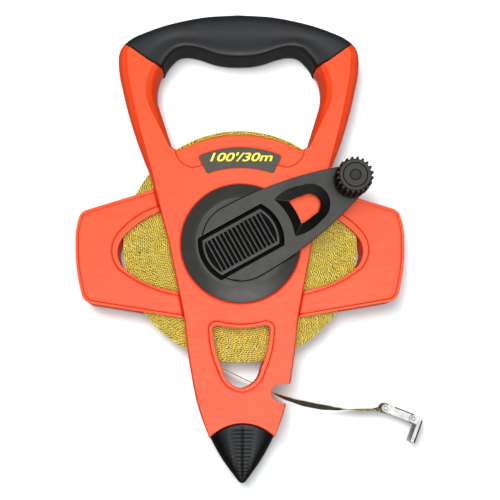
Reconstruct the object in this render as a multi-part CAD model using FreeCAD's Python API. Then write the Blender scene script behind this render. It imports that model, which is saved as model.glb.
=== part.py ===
"""Surveyor's open-frame tape reel, lying on its back. Millimetres.

+Z is the crank side, +Y points at the handle and +X at the side where the tape comes out.
The origin is on the spool axis, on the flat of the rear hub cap.
"""

import FreeCAD
import Part
import math
import os

V = FreeCAD.Vector

# ---- driving dimensions ------------------------------------------------------------------
FRAME_THICK = 30.0
SPLIT_Z = FRAME_THICK / 2
PLATE = 3.5            # thickness of the A-frame's faces
WING_DROP = 4.0        # the side guards stand back from the A-frame's faces by this
WING_PLATE = 2.5
WALL = 3.0
BEAD = 1.0             # height of the raised rims

TAPE_WIDTH = 13.0
TAPE_THICK = 0.45
TAPE_LENGTH = 30480.0
DRUM_R = 38.0
COIL_R = math.sqrt(DRUM_R ** 2 + TAPE_LENGTH * TAPE_THICK / math.pi)
COIL_Z = (SPLIT_Z - TAPE_WIDTH / 2, SPLIT_Z + TAPE_WIDTH / 2)
COIL_ROOM_R = COIL_R + 1.9
COIL_ROOM_Z = (6.4, 23.6)
FLANGE_R = 44.0
FLANGE_T = 1.2

SPINDLE_R = 5.0
RUN = 0.05             # radial running clearance
BUSH_R = 8.0
BUSH_FLANGE_R = 11.0
BUSH_FLANGE_T = 2.0
HUB_BOSS_R = 14.0
HUB_CAP_R = 17.0
HUB_CAP_T = 2.0
SPINDLE_Z = (2.3, 31.8)
CLIP_Z = (2.85, 3.45)
CLIP_R = 7.4
CLIP_GROOVE_R = 3.9

DISC_R = 38.4
DISC_Z = (30.8, 38.5)
PLATEAU_R = 28.7
ARM_Z = (34.8, 39.5)
ARM_ANGLE = 28.8
ARM_HUB_R = 24.8
ARM_SIDE_R = 240.0
KNOB_REACH = 81.0
ARM_END_R = 11.2
SEAT_GAP = 0.25
WELL_R = 27.4
WELL_HALF = 15.3
WELL_FLOOR = 33.0
DISC_SCREW_R = 1.6
DISC_SCREW_Z = 22.0
ARM_SCREW_R = 1.2
ARM_SCREW_HEAD_R = 2.2
ARM_SCREW_ACROSS = 20.0
PAD_R = 24.5
PAD_HALF = 12.7
PAD_TOP = 38.9
PAD_SLOTS = 13
PAD_PITCH = 2.95
PAD_SLOT = 1.9

KNOB_Z = (40.7, 61.0)
KNOB_TIP_R = 11.7
KNOB_ROOT_R = 10.0
KNOB_TEETH = 20
KNOB_SKIRT = 2.4
TOOTH_HALF = 0.85
KNOB_PIN_R = 2.5
KNOB_CAP_R = 7.4

LEG_SCREWS = [(64.0, 100.0), (-64.0, 100.0)]
NOSE_SCREWS = [(11.0, -105.0), (-11.0, -105.0)]
WING_SCREWS = [(94.0, -6.0), (-94.0, -6.0)]
SCREW_R = 1.5
SCREW_HEAD_R = 3.0

# The free end of the tape, from the winding through the notch to the hook, seen from above.
TAPE_ROUTE = [(-34.84, -68.12), (19.9, -95.9), (38.0, -102.2), (57.5, -106.0), (74.0, -107.3), (87.4, -107.2)]
HOOK_MID_Z = 8.3
HOOK_PIN = (93.55, -106.1)
HOOK_ARM = 18.85       # between the two rivets
HOOK_ANGLE = -21.7
HOOK_HALF = 2.45
HOOK_SHEET = 0.9
RIVET_R = 1.1
RIVET_HEAD_R = 1.5
LOOP_R = 3.2
CLAW_REACH = 6.4
CLAW_LEG = 14.4
CLAW_STRIP = 3.0


# ---- small tools ------------------------------------------------------------------------
def flat_wire(outline, z):
    """A closed wire at height z. An entry (x, y) is a corner, ((x, y), (x, y)) an arc's middle and end."""
    edges = []
    start = outline[0]
    here = V(start[0], start[1], z)
    for step in outline[1:] + [start]:
        if isinstance(step[0], tuple):
            middle, end = (V(p[0], p[1], z) for p in step)
            edges.append(Part.Arc(here, middle, end).toShape())
        else:
            end = V(step[0], step[1], z)
            if here.distanceToPoint(end) > 1e-6:
                edges.append(Part.LineSegment(here, end).toShape())
        here = end
    return Part.Wire(edges)


def slab(outline, z0, z1):
    return Part.Face(flat_wire(outline, z0)).extrude(V(0, 0, z1 - z0))


def mirrored(half):
    """Closes a right-hand half outline, from the Y axis round to the Y axis, with its mirror image."""
    outline = list(half)
    ends = [step[1] if isinstance(step[0], tuple) else step for step in half]
    for index in range(len(half) - 1, 0, -1):
        step, before = half[index], ends[index - 1]
        target = (-before[0], before[1])
        if isinstance(step[0], tuple):
            outline.append(((-step[0][0], step[0][1]), target))
        else:
            outline.append(target)
    return outline


def flip_x(outline):
    turned = []
    for step in outline:
        if isinstance(step[0], tuple):
            turned.append(tuple((-x, y) for x, y in step))
        else:
            turned.append((-step[0], step[1]))
    return turned


def tube(r, z0, z1, at=(0.0, 0.0)):
    return Part.makeCylinder(r, z1 - z0, V(at[0], at[1], z0))


def ring(outer, inner, z0, z1, at=(0.0, 0.0)):
    return tube(outer, z0, z1, at).cut(tube(inner, z0 - 1, z1 + 1, at))


def block(x0, x1, y0, y1, z0, z1):
    return Part.makeBox(x1 - x0, y1 - y0, z1 - z0, V(x0, y0, z0))


def join(shapes):
    whole = shapes[0].fuse(shapes[1:])
    return whole.removeSplitter()


def turned(profile):
    """Revolves a closed list of (radius, z) about the Z axis."""
    points = [V(r, 0, z) for r, z in profile + profile[:1]]
    return Part.Face(Part.makePolygon(points)).revolve(V(0, 0, 0), V(0, 0, 1), 360)


def about_hook(shape, at):
    """Moves a shape drawn with its rivet at the origin and its arm along +X to its place."""
    placed = shape.copy()
    placed.rotate(V(0, 0, 0), V(0, 0, 1), HOOK_ANGLE)
    placed.translate(V(at[0], at[1], 0))
    return placed


def on_crank(shape):
    placed = shape.copy()
    placed.rotate(V(0, 0, 0), V(0, 0, 1), ARM_ANGLE)
    return placed


def knob_axis():
    angle = math.radians(ARM_ANGLE)
    return (KNOB_REACH * math.cos(angle), KNOB_REACH * math.sin(angle))


def claw_axis():
    angle = math.radians(HOOK_ANGLE)
    return (HOOK_PIN[0] + HOOK_ARM * math.cos(angle), HOOK_PIN[1] + HOOK_ARM * math.sin(angle))


def save(name, shape):
    shape.exportStep("parts/" + name + ".step")


# ---- outlines of the frame ----------------------------------------------------------------
# Corners of the A-frame's right side, from the nose up the outside and down the inside of the leg:
# x, y, width of the rounded edge there, and whether the point is the middle of an arc.
A_SIDE = [
    (20.6, -123.5, 1.0, False),
    (25.6, -111.0, 1.0, True),
    (29.1, -99.4, 1.0, False),
    (33.1, -78.0, 1.0, True),
    (36.6, -48.7, 1.0, False),
    (47.1, 3.0, 1.0, False),
    (53.2, 25.5, 1.3, True),
    (60.3, 50.7, 2.6, False),
    (70.2, 77.5, 5.0, True),
    (77.2, 104.5, 6.0, False),
    (79.4, 116.0, 6.5, True),
    (79.8, 125.5, 6.5, False),
    (79.0, 129.4, 6.0, True),
    (76.2, 133.7, 5.5, False),
    (60.0, 145.0, 5.0, False),
    (44.5, 124.0, 6.0, False),
    (51.4, 116.3, 6.0, False),
    (54.8, 104.5, 6.5, True),
    (53.6, 93.0, 6.0, False),
    (44.4, 64.2, 1.6, False),
    (40.2, 61.6, 1.0, False),
]
NOSE_APEX = (0.0, -115.0, 1.0, True)
CROSSBAR_APEX = (0.0, 72.1, 1.0, True)
# height above the split and share of the edge width for each level of the rounded edge
EDGE_LEVELS = [(7.0, 0.0), (11.0, 0.13), (13.6, 0.45), (15.0, 1.0)]

JOINT_HALF = [(0.0, 104.0), (46.5, 104.0), (50.3, 117.2), ((55.8, 119.6), (62.6, 124.0)), (84.0, 139.6),
              (84.0, 175.0), (0.0, 175.0)]
CORE_HALF = [(0.0, 137.5), ((30.0, 134.8), (55.0, 126.5)), (60.0, 119.2), (73.0, 119.2), (72.0, 132.5),
             (64.0, 137.2), ((32.0, 147.0), (0.0, 150.2))]
WINDOW_HALF = [(0.0, -54.3), ((9.0, -53.6), (14.5, -52.6)), ((17.4, -53.3), (18.2, -57.0)),
               ((16.4, -68.5), (12.4, -79.5)), ((7.4, -88.9), (0.0, -92.3))]
WINDOW_RIM_HALF = [(0.0, -52.1), ((9.0, -51.3), (15.0, -50.0)), ((19.5, -51.6), (20.6, -57.0)),
                   ((18.9, -69.5), (14.6, -81.6)), ((8.8, -91.0), (0.0, -94.6))]
WING = [(30.0, -45.0), (36.6, -47.6), (94.5, -38.0), ((99.6, -35.9), (102.4, -30.4)), ((105.6, -14.0), (106.4, 1.0)),
        ((106.1, 10.0), (104.5, 17.6)), ((103.2, 20.4), (100.0, 22.8)), (57.2, 35.9), (44.0, 39.0)]
GUARD = [(38.0, -31.3), (46.0, -29.2), ((64.0, -23.1), (76.0, -14.3)), ((79.3, -5.2), (75.9, 5.0)),
         ((65.6, 14.5), (52.9, 21.5)), (46.0, 24.0), (38.0, 26.5)]
GUARD_RIM = [(38.0, -32.9), ((62.5, -25.4), (77.5, -16.2)), ((82.8, -4.4), (78.0, 8.5)), ((67.5, 18.0), (54.5, 24.4)),
             (38.0, 31.0)]
NOTCH = [(40.0, -89.9), (23.6, -90.1), ((18.6, -95.4), (22.2, -100.5)), (27.6, -102.6), (40.0, -104.0)]
RECESS_HALF = [(0.0, 76.0), (43.5, 76.0), (42.3, 61.2), ((38.3, 53.4), (31.3, 49.8)), (26.4, 50.6),
               ((13.4, 54.0), (0.0, 55.0))]
LABEL_HALF = [(0.0, 63.1), ((13.5, 61.7), (25.6, 58.1)), (26.6, 56.6), (21.9, 46.5), (20.6, 46.1),
              ((10.4, 48.7), (0.0, 49.5))]
RECESS_DEPTH = 0.6
LABEL_T = 0.5


def a_outline(share):
    """The A-frame's outline, drawn in by the given share of the edge width at each corner."""
    right = A_SIDE
    left = [(-x, y, w, arc) for x, y, w, arc in reversed(A_SIDE)]
    corners = [NOSE_APEX] + right + [CROSSBAR_APEX] + left
    moved = []
    count = len(corners)
    for index, (x, y, width, arc) in enumerate(corners):
        before = corners[index - 1]
        after = corners[(index + 1) % count]
        along = V(after[0] - before[0], after[1] - before[1], 0)
        along.normalize()
        inset = share * width
        moved.append(((x - along.y * inset, y + along.x * inset), arc))
    moved = moved[1:] + moved[:1]
    outline = []
    middle = None
    for point, arc in moved:
        if arc:
            middle = point
        elif middle:
            outline.append((middle, point))
            middle = None
        else:
            outline.append(point)
    outline.append((middle, outline[0]))
    return outline


def guard_walls(outline, rim, side_open):
    """Walls round a side guard between its two plates, open where the winding passes."""
    outer = slab(outline, SPLIT_Z, FRAME_THICK - WING_DROP - WING_PLATE)
    drawn_in = Part.Face(flat_wire(outline, SPLIT_Z).makeOffset2D(-WALL)).extrude(V(0, 0, 20))
    wall = outer.cut(drawn_in)
    inner = slab(rim, SPLIT_Z, FRAME_THICK - WING_DROP - WING_PLATE)
    inner = inner.cut(slab(side_open, SPLIT_Z - 1, FRAME_THICK))
    return join([wall, inner])


def wing_half(flip):
    """One side guard's half: a plate with a D-shaped opening, raised rims and outer walls."""
    turn = flip_x if flip else (lambda outline: outline)
    wing, guard, rim = turn(WING), turn(GUARD), turn(GUARD_RIM)
    top = FRAME_THICK - WING_DROP
    plate = slab(wing, top - WING_PLATE, top)
    edge = Part.Face(flat_wire(wing, top)).extrude(V(0, 0, BEAD * 0.7))
    edge = edge.cut(Part.Face(flat_wire(wing, top).makeOffset2D(-1.7)).extrude(V(0, 0, BEAD)))
    bead = slab(rim, top, top + BEAD)
    whole = join([plate, edge, bead, guard_walls(wing, rim, guard)])
    whole = whole.cut(slab(guard, SPLIT_Z - 1, FRAME_THICK + 5))
    return whole


def a_half():
    """The A-frame's half: flat sides up to the rounded edge, then drawn in to the face."""
    wires = [flat_wire(a_outline(share), SPLIT_Z + height) for height, share in EDGE_LEVELS]
    body = slab(a_outline(0.0), SPLIT_Z, SPLIT_Z + EDGE_LEVELS[0][0])
    edge = Part.makeLoft(wires, True, True)
    return join([body, edge])


def leg_pocket(side):
    outline = [(57.5, 110.0), (72.0, 118.0), (71.0, 105.0), (65.0, 80.0), (56.0, 56.0), (52.5, 62.0), (56.0, 82.0)]
    outline = outline if side > 0 else flip_x(outline)
    return slab(outline, SPLIT_Z - 1, FRAME_THICK - PLATE - 2)


def tape_channel():
    """The slot that the tape runs through, straight from the winding to the notch."""
    start, end = (V(x, y, 0) for x, y in TAPE_ROUTE[:2])
    run = end - start
    channel = block(-3, run.Length + 1.5, -2.2, 2.2, COIL_Z[0] - 0.7, COIL_Z[1] + 0.7)
    channel.rotate(V(0, 0, 0), V(0, 0, 1), math.degrees(math.atan2(run.y, run.x)))
    channel.translate(start)
    return channel


def shell_half():
    """What the front and rear halves share, as the front half."""
    whole = join([a_half(), wing_half(False), wing_half(True)])
    bar = slab(mirrored(CORE_HALF), SPLIT_Z, SPLIT_Z + 7)
    tongue = block(-9, 9, -132, -112, SPLIT_Z, SPLIT_Z + 7)
    whole = whole.cut(slab(mirrored(JOINT_HALF), SPLIT_Z - 1, FRAME_THICK + 5))
    whole = join([whole, bar, tongue])
    room = tube(COIL_ROOM_R, SPLIT_Z - 1, COIL_ROOM_Z[1])
    hollow = [(0, 48.0), (51.0, 48.0), (42.5, 3.0), (33.2, -44.0), (0, -44.0)]
    dish = slab(mirrored(hollow), SPLIT_Z - 1, FRAME_THICK - PLATE)
    dish = dish.cut(tube(HUB_BOSS_R, COIL_ROOM_Z[1], FRAME_THICK))
    whole = whole.cut([room, dish, leg_pocket(1), leg_pocket(-1)])
    whole = whole.cut([slab(mirrored(WINDOW_HALF), SPLIT_Z - 1, FRAME_THICK + 5),
                       slab(NOTCH, SPLIT_Z - 1, FRAME_THICK + 5), tape_channel()])
    posts = [tube(4.2, SPLIT_Z, FRAME_THICK - PLATE - 1, at) for at in LEG_SCREWS]
    posts += [tube(4.2, SPLIT_Z, FRAME_THICK - WING_DROP - 1, at) for at in WING_SCREWS]
    whole = join([whole] + posts)
    bore = tube(BUSH_R, SPLIT_Z - 1, FRAME_THICK + 5)
    seat = tube(BUSH_FLANGE_R, SPLIT_Z - 1, COIL_ROOM_Z[1] + BUSH_FLANGE_T)
    return whole.cut([bore, seat])


def to_rear(shape):
    return shape.mirror(V(0, 0, SPLIT_Z), V(0, 0, 1))


# ---- the frame's pieces -------------------------------------------------------------------
def front_frame_half(shell):
    """The half with the window's raised rim, the label's recess and the screws' blind holes."""
    face = FRAME_THICK - RECESS_DEPTH
    rim = slab(mirrored(WINDOW_RIM_HALF), FRAME_THICK - 1, FRAME_THICK + BEAD)
    rim = rim.cut(slab(mirrored(WINDOW_HALF), SPLIT_Z, FRAME_THICK + 5))
    cuts = [slab(mirrored(RECESS_HALF), face, FRAME_THICK + 5), slab(mirrored(LABEL_HALF), face, FRAME_THICK + 5)]
    for at in LEG_SCREWS + NOSE_SCREWS + WING_SCREWS:
        cuts.append(tube(SCREW_R, SPLIT_Z - 1, SPLIT_Z + 8, at))
    return join([shell, rim]).cut(cuts)


def rear_frame_half(shell):
    """The half that the reel lies on: flat, with the hub cap's seat and the screws' holes."""
    rear = to_rear(shell)
    cuts = [tube(HUB_CAP_R, -5, HUB_CAP_T)]
    for at, face in screw_places():
        cuts.append(tube(SCREW_R + 0.2, -5, SPLIT_Z + 1, at))
        cuts.append(tube(SCREW_HEAD_R + 0.3, -5, face + 2.6, at))
    return rear.cut(cuts)


def screw_places():
    """Each screw's place and the height of the rear face it is sunk in."""
    places = [(at, 0.0) for at in LEG_SCREWS + NOSE_SCREWS]
    return places + [(at, WING_DROP) for at in WING_SCREWS]


def frame_screws():
    screws = []
    for at, face in screw_places():
        head = tube(SCREW_HEAD_R, face + 0.6, face + 2.6, at)
        slot = block(at[0] - 2, at[0] + 2, at[1] - 0.4, at[1] + 0.4, face, face + 1.4)
        slot = slot.fuse(block(at[0] - 0.4, at[0] + 0.4, at[1] - 2, at[1] + 2, face, face + 1.4))
        shank = tube(SCREW_R, face + 2, SPLIT_Z + 7.5, at)
        screws.append(join([head, shank]).cut(slot))
    return Part.makeCompound(screws)


# height and how far the grip's underside and back are drawn in there
GRIP_LEVELS = [(0.4, 5.0), (2.0, 2.2), (5.5, 0.4), (8.0, 0.0), (22.0, 0.0), (24.5, 0.4), (28.0, 2.2), (29.6, 5.0)]


def handle_grip():
    """A rubber sleeve round the handle bar of the two halves, with rounded long edges."""
    body = Part.makeLoft([flat_wire(mirrored(grip_level(inset)), z) for z, inset in GRIP_LEVELS], True, True)
    zone = slab(mirrored(JOINT_HALF), -1, FRAME_THICK + 1)
    core = slab(mirrored(CORE_HALF), SPLIT_Z - 7, SPLIT_Z + 7)
    return body.common(zone).cut(core)


def grip_level(inset):
    """The grip's right half, its underside and back drawn in by inset."""
    return [(0.0, 124.4 + inset), ((16.0, 126.2 + inset), (26.8, 129.9 + inset * 0.9)),
            ((37.6, 131.0 + inset * 0.9), (45.6 - inset * 0.3, 125.3 + inset * 0.8)), (50.4 + inset * 0.8, 116.3),
            (60.0, 110.0), (84.0 - inset, 126.0), (76.6 - inset * 0.7, 133.2 - inset * 0.7),
            ((71.8 - inset * 0.6, 137.6 - inset * 0.8), (66.0 - inset * 0.4, 140.7 - inset * 0.9)),
            ((33.5 - inset * 0.2, 151.0 - inset), (0.0, 154.4 - inset))]


def nose_cone():
    """The rubber toe on the frame's nose, flattened towards its rounded tip."""
    half = [(0.0, -152.5), ((1.9, -152.0), (3.2, -150.5)), ((12.4, -138.0), (20.6, -123.5)),
            ((10.5, -117.2), (0.0, -115.0))]
    plan = slab(mirrored(half), 0.4, 29.6)
    side = [(-100.0, 0.4), (-122.0, 0.4), (-149.0, 8.5), (-153.0, 12.5), (-153.0, 17.5), (-149.0, 21.5),
            (-122.0, 29.6), (-100.0, 29.6)]
    points = [V(-40, y, z) for y, z in side + side[:1]]
    wedge = Part.Face(Part.makePolygon(points)).extrude(V(80, 0, 0))
    tongue = block(-9, 9, -132, -110, SPLIT_Z - 7, SPLIT_Z + 7)
    return plan.common(wedge).cut(tongue)


def front_bush():
    """A flanged bush in the front half's hub."""
    inner = COIL_ROOM_Z[1]
    whole = join([tube(BUSH_R, inner, FRAME_THICK), tube(BUSH_FLANGE_R, inner, inner + BUSH_FLANGE_T)])
    return whole.cut(tube(SPINDLE_R + RUN, inner - 1, FRAME_THICK + 1))


def rear_bush():
    """The rear half's bush, short enough to leave room for the clip behind it."""
    inner = COIL_ROOM_Z[0]
    whole = join([tube(BUSH_R, CLIP_Z[1] + 0.35, inner), tube(BUSH_FLANGE_R, inner - BUSH_FLANGE_T, inner)])
    return whole.cut(tube(SPINDLE_R + RUN, 0, inner + 1))


def rear_hub_cap():
    """The cover over the spindle's rear end; its flat is what the reel rests on."""
    cap = tube(HUB_CAP_R, 0, HUB_CAP_T)
    return cap


def length_label():
    return slab(mirrored(LABEL_HALF), FRAME_THICK - RECESS_DEPTH, FRAME_THICK - RECESS_DEPTH + LABEL_T)


# ---- the reel ------------------------------------------------------------------------------
def drum_front():
    """Front half of the drum: hub, web, rim and flange."""
    z_top = COIL_Z[1]
    flange = ring(FLANGE_R, SPINDLE_R + 3, z_top + 0.2, z_top + 0.2 + FLANGE_T)
    rim = ring(DRUM_R, DRUM_R - 3, SPLIT_Z, z_top + 0.4)
    hub = tube(SPINDLE_R + 5, SPLIT_Z, z_top + 0.2 + FLANGE_T)
    ribs = [block(7, DRUM_R - 2, -1, 1, SPLIT_Z + 1, z_top + 0.3) for _ in range(6)]
    for index, rib in enumerate(ribs):
        rib.rotate(V(0, 0, 0), V(0, 0, 1), 60 * index)
    return join([flange, rim, hub] + ribs).cut(tube(SPINDLE_R, 0, 40))


def tape_winding():
    return ring(COIL_R, DRUM_R, COIL_Z[0], COIL_Z[1])


def spindle():
    """The steel axle: journals in both bushes, a tapped front end and a groove for the clip."""
    shaft = tube(SPINDLE_R, SPINDLE_Z[0], SPINDLE_Z[1])
    groove = ring(SPINDLE_R + 1, CLIP_GROOVE_R, CLIP_Z[0] - 0.05, CLIP_Z[1] + 0.05)
    return shaft.cut([groove, tube(DISC_SCREW_R, DISC_SCREW_Z - 1, FRAME_THICK + 5)])


def retaining_clip():
    """The spring clip in the spindle's rear groove, which stops the spindle pulling out forwards."""
    clip = ring(CLIP_R, CLIP_GROOVE_R, CLIP_Z[0], CLIP_Z[1])
    return clip.cut(block(-CLIP_GROOVE_R * 0.8, CLIP_GROOVE_R * 0.8, 0, CLIP_R + 1, 0, SPLIT_Z))


def drag_washer():
    return ring(12.0, SPINDLE_R + 0.2, DISC_Z[0] - 0.5, DISC_Z[0])


def spindle_screw():
    """The screw under the pad that clamps the crank disc to the spindle."""
    head = tube(3.6, WELL_FLOOR, WELL_FLOOR + 1.6)
    shank = tube(DISC_SCREW_R, DISC_SCREW_Z, WELL_FLOOR + 0.5)
    slot = block(-2.4, 2.4, -0.4, 0.4, WELL_FLOOR + 0.8, WELL_FLOOR + 2)
    cross = block(-0.4, 0.4, -2.4, 2.4, WELL_FLOOR + 0.8, WELL_FLOOR + 2)
    return join([head, shank]).cut([slot, cross])


def arm_outline(grow):
    """The teardrop seen from above, along +X: hub circle, two long arcs and the knob end."""
    hub = ARM_HUB_R + grow
    drop = KNOB_REACH + 3.0
    end_half = ARM_HUB_R - drop ** 2 / (2 * ARM_SIDE_R) + grow
    middle = drop / 2
    mid_half = ARM_HUB_R - middle ** 2 / (2 * ARM_SIDE_R) + grow
    tip = KNOB_REACH + ARM_END_R + grow
    return [(0.0, -hub), ((middle, -mid_half), (drop, -end_half)), ((tip, 0.0), (drop, end_half)),
            ((middle, mid_half), (0.0, hub)), ((-hub, 0.0), (0.0, -hub))]


def oval(radius, half):
    """A band of the given half-width cut from a disc: straight sides, round ends."""
    reach = math.sqrt(radius ** 2 - half ** 2)
    return [(-reach, -half), (reach, -half), ((radius, 0.0), (reach, half)), (-reach, half),
            ((-radius, 0.0), (-reach, -half))]


HOLE_TOP = [(31.5, -13.7), ((42.0, -15.1), (52.0, -12.9)), ((63.6, 0.0), (52.0, 12.9)), ((42.0, 15.1), (31.5, 13.7)),
            ((34.3, 0.0), (31.5, -13.7))]
HOLE_LOW = [(39.7, -8.3), ((44.5, -8.2), (49.5, -7.2)), ((57.6, 0.0), (49.5, 7.2)), ((44.5, 8.2), (39.7, 8.3)),
            ((40.6, 0.0), (39.7, -8.3))]


def crank_arm():
    """The teardrop arm with a dished D-shaped hole and an opening for the pad."""
    arm = slab(arm_outline(0.0), ARM_Z[0], ARM_Z[1])
    dish = Part.makeLoft([flat_wire(HOLE_LOW, ARM_Z[0] + 1.2), flat_wire(HOLE_TOP, ARM_Z[1] + 0.02)], True, True)
    through = slab(HOLE_LOW, ARM_Z[0] - 1, ARM_Z[0] + 1.3)
    well = slab(oval(WELL_R, WELL_HALF), ARM_Z[0] - 1, ARM_Z[1] + 1)
    stud = tube(KNOB_PIN_R, ARM_Z[0] - 1, ARM_Z[1] + 1, (KNOB_REACH, 0.0))
    holes = [tube(ARM_SCREW_R, ARM_Z[0] - 1, ARM_Z[1] - 1.5, (0.0, side * ARM_SCREW_ACROSS)) for side in (1, -1)]
    return on_crank(arm.cut([dish, through, well, stud] + holes))


def crank_disc():
    """The dished disc that drives the spindle, with a seat for the arm and a well for the pad."""
    z0, z1 = DISC_Z
    body = turned([(0, z0), (DISC_R - 0.6, z0), (DISC_R, z0 + 0.6), (DISC_R, z0 + 2.2), (PLATEAU_R + 0.8, z1 - 0.15),
                   (PLATEAU_R, z1), (0, z1)])
    seat = slab(arm_outline(SEAT_GAP), ARM_Z[0], z1 + 5)
    well = slab(oval(WELL_R, WELL_HALF), WELL_FLOOR, z1 + 5)
    cuts = [on_crank(seat), on_crank(well), tube(DISC_SCREW_R, z0 - 1, z1 + 5), tube(SPINDLE_R, z0 - 1, SPINDLE_Z[1])]
    for side in (1, -1):
        at = (0.0, side * ARM_SCREW_ACROSS)
        cuts.append(on_crank(tube(ARM_SCREW_R, z0 - 1, z1 + 5, at)))
        cuts.append(on_crank(tube(ARM_SCREW_HEAD_R + 0.2, z0 - 1, z0 + 1.8, at)))
    return body.cut(cuts)


def crank_arm_screws():
    """Two screws from under the disc up into the arm's cheeks."""
    screws = []
    for side in (1, -1):
        at = (0.0, side * ARM_SCREW_ACROSS)
        head = tube(ARM_SCREW_HEAD_R, DISC_Z[0] + 0.4, DISC_Z[0] + 1.8, at)
        screws.append(on_crank(join([head, tube(ARM_SCREW_R, DISC_Z[0] + 1, ARM_Z[1] - 1.5, at)])))
    return Part.makeCompound(screws)


def crank_pad():
    """The ribbed pad in the well: slots across the arm and a half-moon slot at each end."""
    pad = slab(oval(PAD_R, PAD_HALF), WELL_FLOOR, PAD_TOP)
    cuts = [tube(4.2, WELL_FLOOR - 1, WELL_FLOOR + 2.0)]
    reach = PAD_HALF - 2.0
    first = -(PAD_SLOTS - 1) / 2 * PAD_PITCH
    for index in range(PAD_SLOTS):
        x = first + index * PAD_PITCH
        cuts.append(block(x - PAD_SLOT / 2, x + PAD_SLOT / 2, -reach, reach, PAD_TOP - 1.5, PAD_TOP + 1))
    edge = -first + PAD_SLOT / 2 + 1.0
    moon = slab(oval(PAD_R - 1.6, reach), PAD_TOP - 1.5, PAD_TOP + 1)
    moon = moon.cut(block(-edge, edge, -20, 20, 0, 60))
    return on_crank(pad.cut(cuts + [moon]))


def knob_pin():
    """The rivet that the knob turns on, riveted into the arm's end, with its head in the knob's face."""
    at = knob_axis()
    shank = tube(KNOB_PIN_R, ARM_Z[0], KNOB_Z[1] - 1.4, at)
    foot = tube(KNOB_PIN_R + 1.6, ARM_Z[0] - 1.2, ARM_Z[0], at)
    head = tube(KNOB_PIN_R + 0.6, KNOB_Z[1] - 1.4, KNOB_Z[1] - 0.2, at)
    return join([shank, foot, head])


def knob_washer():
    return ring(6.5, KNOB_PIN_R, ARM_Z[1], ARM_Z[1] + 0.9, knob_axis())


# ---- the knob --------------------------------------------------------------------------------
def knob_outline(at):
    """The toothed section: round-tipped teeth standing on the root circle."""
    pitch = 2 * math.pi / KNOB_TEETH
    shoulder_r = KNOB_TIP_R - TOOTH_HALF

    def spot(radius, angle):
        return (at[0] + radius * math.cos(angle), at[1] + radius * math.sin(angle))

    root_half = TOOTH_HALF * 1.15 / KNOB_ROOT_R
    tip_half = TOOTH_HALF / shoulder_r
    outline = [spot(KNOB_ROOT_R, pitch / 2 - root_half)]
    for index in range(KNOB_TEETH):
        angle = (index + 0.5) * pitch
        outline.append(spot(shoulder_r, angle - tip_half))
        outline.append((spot(KNOB_TIP_R, angle), spot(shoulder_r, angle + tip_half)))
        outline.append(spot(KNOB_ROOT_R, angle + root_half))
        outline.append((spot(KNOB_ROOT_R, angle + pitch / 2), spot(KNOB_ROOT_R, angle + pitch - root_half)))
    return outline


def crank_knob():
    """The ribbed knob: toothed barrel on a smooth skirt, with a recess for its cap."""
    at = knob_axis()
    z0, z1 = KNOB_Z
    skirt = tube(KNOB_TIP_R - 0.4, z0, z0 + KNOB_SKIRT, at)
    teeth = slab(knob_outline(at), z0 + KNOB_SKIRT, z1 - 1.2)
    brow = tube(KNOB_ROOT_R - 0.1, z1 - 1.2, z1, at)
    knob = join([skirt, teeth, brow])
    seat = tube(KNOB_CAP_R + 0.3, z1 - 1.0, z1 + 1, at)
    cap_room = tube(KNOB_CAP_R, z1 - 2.4, z1 + 1, at)
    return knob.cut([seat, cap_room, tube(KNOB_PIN_R + RUN, z0 - 1, z1 + 1, at)])


def knob_cap():
    """The disc pressed into the knob's face, dished round the rivet head."""
    at = knob_axis()
    z1 = KNOB_Z[1]
    cap = tube(KNOB_CAP_R, z1 - 2.4, z1, at)
    return cap.cut([tube(KNOB_PIN_R + RUN, z1 - 3, z1 + 1, at), tube(KNOB_PIN_R + 0.95, z1 - 1.7, z1 + 1, at)])


# ---- the tape's free end and its hook -----------------------------------------------------------
def route_arcs():
    """Each inner route point with its two run directions, tangent length and radius."""
    arcs = []
    points = [V(x, y, 0) for x, y in TAPE_ROUTE]
    for before, corner, after in zip(points, points[1:], points[2:]):
        into, out = corner - before, after - corner
        tangent = 0.45 * min(into.Length, out.Length)
        into.normalize()
        out.normalize()
        turn = math.atan2(into.x * out.y - into.y * out.x, into.dot(out))
        arcs.append((corner, into, out, tangent, turn, tangent / math.tan(abs(turn) / 2)))
    return arcs


def tape_edge(side):
    """One face of the ribbon in plan: runs joined by tangent arcs, half a thickness off the route."""
    half = side * TAPE_THICK / 2
    first, last = V(*TAPE_ROUTE[0], 0), V(*TAPE_ROUTE[-1], 0)
    arcs = route_arcs()
    into = arcs[0][1]
    out = arcs[-1][2]
    steps = [first + V(-into.y, into.x, 0) * half]
    for corner, into, out, tangent, turn, radius in arcs:
        start = corner - into * tangent
        end = corner + out * tangent
        sign = 1 if turn > 0 else -1
        centre = start + V(-into.y, into.x, 0) * (sign * radius)
        towards = corner - centre
        towards.normalize()
        edge_r = radius - sign * half
        steps.append(start + V(-into.y, into.x, 0) * half)
        steps.append((centre + towards * edge_r, end + V(-out.y, out.x, 0) * half))
    steps.append(last + V(-out.y, out.x, 0) * half)
    return steps


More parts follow.
